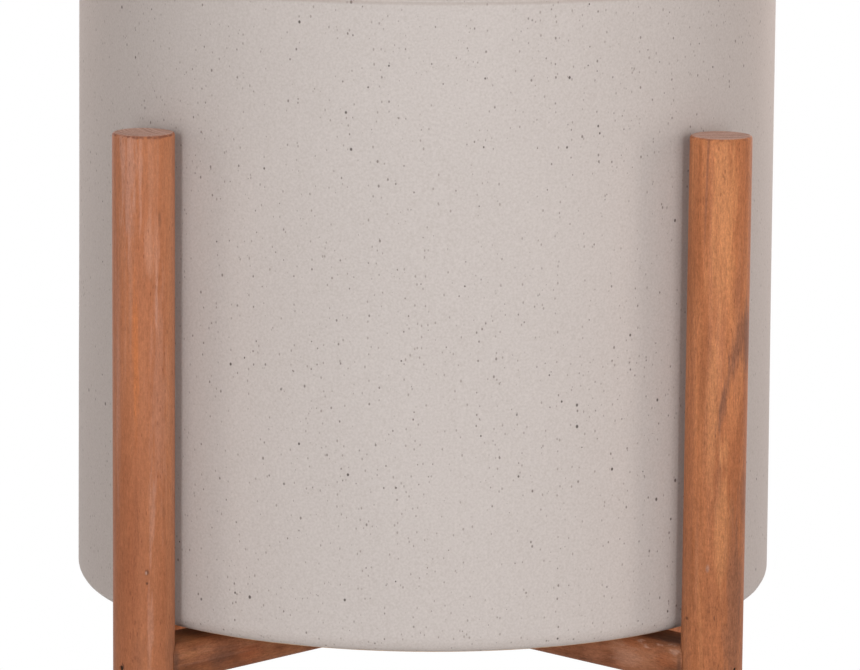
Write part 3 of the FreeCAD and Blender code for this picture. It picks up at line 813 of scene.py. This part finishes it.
# the rest, on the CAD's own shapes
# seed of each rail's grain, and the rail's turn about the upright
RAILS = {"cross_rail_lower": (60.0, math.radians(45)), "cross_rail_upper": (69.0, math.radians(-45))}
RAIL_TONES = {
    "cross_rail_lower": (paint(82, 44, 27), paint(134, 82, 54), paint(170, 116, 82)),
    "cross_rail_upper": (paint(92, 52, 34), paint(146, 93, 65), paint(182, 128, 97)),
}
SCUFF = paint(206, 172, 154)
# grey-brown of the painted shade on the rails, at the legs and under the pot, and of one darker patch
# on the lower rail's front
SHADE_AND_DARK_MARK = paint(84, 60, 50)
# the same values as for the legs, with the places across, above and along the rail's middle
RAIL_MARKS = {
    "cross_rail_lower": (
        # painted light: the top face near the front left leg made lighter, against the pot's shadow
        ((-0.0040, 0.0097, -0.176), (0.0110, 0.0040, 0.014), 0.0, paint(176, 118, 76), 0.60, 1.0),
        ((-0.0132, 0.0030, -0.178), (0.0040, 0.0050, 0.010), 0.0, paint(170, 112, 74), 0.45, 1.8),
        # painted shade: a dark band on the front face where the rail meets the front left leg
        ((-0.0130, 0.0020, -0.188), (0.0040, 0.0080, 0.003), 0.0, SHADE_AND_DARK_MARK, 0.55, 1.0),
        ((-0.0134, -0.0010, -0.158), (0.0040, 0.0080, 0.010), 0.0, SHADE_AND_DARK_MARK, 0.34, 2.2),
        ((-0.0134, -0.0030, -0.136), (0.0040, 0.0060, 0.012), 0.0, paint(150, 84, 54), 0.45, 1.8),
    ),
    "cross_rail_upper": (
        # painted shadow: the top face near the front right leg darker under the pot
        ((-0.0030, 0.0098, 0.176), (0.0130, 0.0056, 0.020), 0.0, SHADE_AND_DARK_MARK, 0.72, 1.2),
        ((-0.0150, 0.0086, 0.1640), (0.0034, 0.0020, 0.0068), 0.0, SCUFF, 0.38, 5.0),
        ((-0.0146, 0.0096, 0.1740), (0.0040, 0.0020, 0.0068), 0.0, SCUFF, 0.34, 5.0),
        ((-0.0158, 0.0070, 0.1830), (0.0032, 0.0020, 0.0055), 0.0, SCUFF, 0.28, 5.0),
        ((-0.0070, 0.0118, 0.1700), (0.0040, 0.0020, 0.0060), 0.0, SCUFF, 0.22, 5.0),
        ((-0.0135, 0.0010, 0.179), (0.0040, 0.0050, 0.008), 0.0, paint(160, 92, 56), 0.40, 1.8),
        ((-0.0135, -0.0010, 0.152), (0.0040, 0.0080, 0.014), 0.0, paint(182, 138, 116), 0.42, 2.0),
        ((-0.0132, 0.0060, 0.156), (0.0030, 0.0030, 0.007), 0.0, paint(140, 76, 42), 0.50, 1.6),
        ((-0.0135, -0.0030, 0.131), (0.0040, 0.0080, 0.012), 0.0, paint(162, 108, 80), 0.75, 1.2),
        # painted shade: a dark band on the front face where the rail meets the front right leg
        ((-0.0132, 0.0000, 0.1875), (0.0040, 0.0080, 0.002), 0.0, SHADE_AND_DARK_MARK, 0.50, 0.8),
    ),
}


DOWEL_TONES = (paint(168, 128, 84), paint(206, 170, 122), paint(226, 196, 152))
# darkest and lightest colour, and least roughness, of the small pieces
PAD_BLACK = (paint(30, 28, 27), paint(52, 49, 47), 0.6)
GLIDE_BROWN = (paint(84, 60, 46), paint(112, 82, 64), 0.36)
STOPPER_BLACK = (paint(40, 38, 37), paint(62, 59, 57), 0.5)
BRIGHT_STEEL = (paint(150, 147, 143), paint(192, 190, 186), 0.24)
DULL_STEEL = (paint(52, 42, 36), paint(80, 68, 60), 0.55)


def dress_frame():
    """Dresses the CAD nodes that show as they are."""
    for name, (seed, turn) in RAILS.items():
        dress(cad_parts[name], wood(
            f"rail_wood_{name}", seed, RAIL_TONES[name], pale=0.15, figure=0.3, long=0.5,
            short=1.3, pores=0.4, rail_turn=turn, pith=(0.02, 0.05), blotch=0.9,
            marks=RAIL_MARKS[name]))
    pale_wood = wood("dowel_wood_pale", 91.0, DOWEL_TONES, pale=0.1, figure=0.5)
    soft = rubber("pad_rubber_black", *PAD_BLACK)
    nylon = rubber("glide_nylon_brown", *GLIDE_BROWN)
    for corner in CORNERS:
        dress(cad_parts[f"dowel_{corner}"], pale_wood)
        dress(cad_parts[f"pot_pad_{corner}"], soft)
        dress(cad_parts[f"leg_glide_{corner}"], nylon)
    dress(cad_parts["drain_plug"], rubber("stopper_rubber_black", *STOPPER_BLACK))
    bright = steel("fastener_steel_bright", *BRIGHT_STEEL)
    dull = steel("fastener_steel_dull", *DULL_STEEL)
    dress(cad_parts["dowel_brads"], dull)
    dress(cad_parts["glide_nails"], bright)
    dress(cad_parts["lap_screw"], bright)


# floor, light and camera
# radii of the floor's rings of points, in metres
FLOOR_REACHES = (0.1, 0.2, 0.35, 0.6, 1.0, 2.0, 4.0, 8.0, 16.0)
FLOOR_AROUND = 96
FLOOR_COLOUR = paint(232, 231, 229)
# the floor's white share near and far, and the distances in metres between which it grows
WHITE_FROM, WHITE_TO = 0.22, 0.34
WHITE_NEAR, WHITE_FAR = 0.30, 1.0
AMBIENT_STRENGTH = 0.05
BACKGROUND_STRENGTH = 1.0
NEUTRAL = (1.0, 1.0, 1.0)
WARM = (1.0, 0.83, 0.75)
# name, degrees to the right of the front, distance, height, width and tallness in metres, power
# in watts, and colour
LAMPS = (
    ("left_strip", -16.5, 2.0, 0.62, 0.18, 1.0, 9.2, NEUTRAL),
    ("right_strip", 13, 2.0, 0.62, 0.16, 1.0, 6.1, NEUTRAL),
    ("left_wide", -24, 2.0, 0.62, 0.7, 1.0, 4.4, NEUTRAL),
    ("right_wide", 22, 2.0, 0.62, 0.7, 1.0, 8.7, NEUTRAL),
    ("left_side", -75, 2.0, 0.5, 0.4, 1.2, 4.1, WARM),
    ("right_side", 75, 2.0, 0.5, 0.4, 1.2, 6.8, WARM),
    ("back_left", -140, 2.2, 0.6, 1.0, 1.0, 9.0, WARM),
    ("back_right", 140, 2.2, 0.6, 1.0, 1.0, 13.2, WARM),
    ("back", 180, 2.2, 0.6, 1.0, 1.0, 9.0, NEUTRAL),
    ("top", 0, 0.01, 2.2, 0.3, 0.3, 9.8, NEUTRAL),
)
LAMP_AIM = 0.3


def background_rays(tree):
    """1 on the rays that show the white background: camera, glossy and transmission rays."""
    path = tree.nodes.new("ShaderNodeLightPath")
    shown = path.outputs["Is Camera Ray"]
    for kind in ("Is Glossy Ray", "Is Transmission Ray"):
        most = tree.nodes.new("ShaderNodeMath")
        most.operation = "MAXIMUM"
        tree.links.new(shown, most.inputs[0])
        tree.links.new(path.outputs[kind], most.inputs[1])
        shown = most.outputs[0]
    return shown


def make_floor():
    """A plain pale floor that keeps the shadow near the stand and turns white farther out."""
    rings = [[(0, 0, 0)]]
    for reach in FLOOR_REACHES:
        rings.append([(reach * math.cos(turn), reach * math.sin(turn), 0)
                      for turn in turns(FLOOR_AROUND)])
    floor = skin("floor", rings)
    look = Look("pale_floor")
    look.finish(FLOOR_COLOUR, roughness=0.9, Specular_IOR_Level=0.1)
    far = look.vector("LENGTH", look.vector("MULTIPLY", look.place, (1.0, 1.0, 0.0)))
    white = look.ease(far, WHITE_FROM, WHITE_TO, WHITE_NEAR, WHITE_FAR)
    glow = look.add("ShaderNodeEmission")
    join = look.add("ShaderNodeMixShader")
    look.put(join.inputs[0], look.calc("MULTIPLY", white, background_rays(look.tree)))
    look.put(join.inputs[1], look.shader.outputs[0])
    look.put(join.inputs[2], glow.outputs[0])
    look.put(look.output.inputs["Surface"], join.outputs[0])
    dress(floor, look.material)


def make_world():
    """A white background over a faint ambient light."""
    world = bpy.data.worlds.new("studio")
    bpy.context.scene.world = world
    world.use_nodes = True
    tree = world.node_tree
    tree.nodes.clear()
    join = tree.nodes.new("ShaderNodeMixShader")
    tree.links.new(background_rays(tree), join.inputs[0])
    for slot, strength in ((1, AMBIENT_STRENGTH), (2, BACKGROUND_STRENGTH)):
        backdrop = tree.nodes.new("ShaderNodeBackground")
        backdrop.inputs["Color"].default_value = (1, 1, 1, 1)
        backdrop.inputs["Strength"].default_value = strength
        tree.links.new(backdrop.outputs[0], join.inputs[slot])
    output = tree.nodes.new("ShaderNodeOutputWorld")
    tree.links.new(join.outputs[0], output.inputs["Surface"])


def make_lamps():
    """Soft rectangular lamps, aimed at the middle of the planter and unseen by the camera."""
    for name, turn, reach, up, wide, tall, power, colour in LAMPS:
        light = bpy.data.lights.new(name, "AREA")
        light.shape = "RECTANGLE"
        light.size = wide
        light.size_y = tall
        light.energy = power
        light.color = colour
        lamp = bpy.data.objects.new(name, light)
        turn = math.radians(turn)
        spot = Vector((reach * math.sin(turn), -reach * math.cos(turn), up))
        lamp.location = spot
        lamp.rotation_euler = (Vector((0, 0, LAMP_AIM)) - spot).to_track_quat("-Z", "Y").to_euler()
        lamp.visible_camera = False
        bpy.context.scene.collection.objects.link(lamp)


# the photograph's width, the focal length and the column of the pot's axis, in its pixels
IMAGE_WIDTH = 860
FOCAL_PIXELS = 5237.4
AXIS_PIXEL = 424.65
# the camera's distance and height in metres, and its angles in radians
CAMERA_REACH = 2.64
CAMERA_HEIGHT = 0.7525
CAMERA_DOWN = 0.1785
CAMERA_TURN = -0.0217
CAMERA_ROLL = 0.0087
# in millimetres, as Blender has it
SENSOR_WIDTH = 36.0
# how near and how far it sees, in metres
CLIP_START, CLIP_END = 0.1, 60.0


def make_camera():
    """The camera at the photograph's angle."""
    data = bpy.data.cameras.new("camera")
    data.sensor_fit = "HORIZONTAL"
    data.sensor_width = SENSOR_WIDTH
    data.lens = FOCAL_PIXELS / IMAGE_WIDTH * data.sensor_width
    data.clip_start = CLIP_START
    data.clip_end = CLIP_END
    camera = bpy.data.objects.new("camera", data)
    camera.location = (CAMERA_REACH * math.sin(CAMERA_TURN),
                       -CAMERA_REACH * math.cos(CAMERA_TURN), CAMERA_HEIGHT)
    yaw = CAMERA_TURN + (AXIS_PIXEL - IMAGE_WIDTH / 2) / FOCAL_PIXELS
    look = Matrix.Rotation(yaw, 4, "Z") @ Matrix.Rotation(math.pi / 2 - CAMERA_DOWN, 4, "X")
    look = look @ Matrix.Rotation(CAMERA_ROLL, 4, "Z")
    camera.rotation_euler = look.to_euler()
    bpy.context.scene.collection.objects.link(camera)
    bpy.context.scene.camera = camera


make_pot()
for corner, grain in LEG_GRAIN.items():
    make_leg(corner, *grain)
dress_frame()
make_floor()
make_world()
make_lamps()
make_camera()
bpy.context.scene.view_settings.view_transform = "Standard"
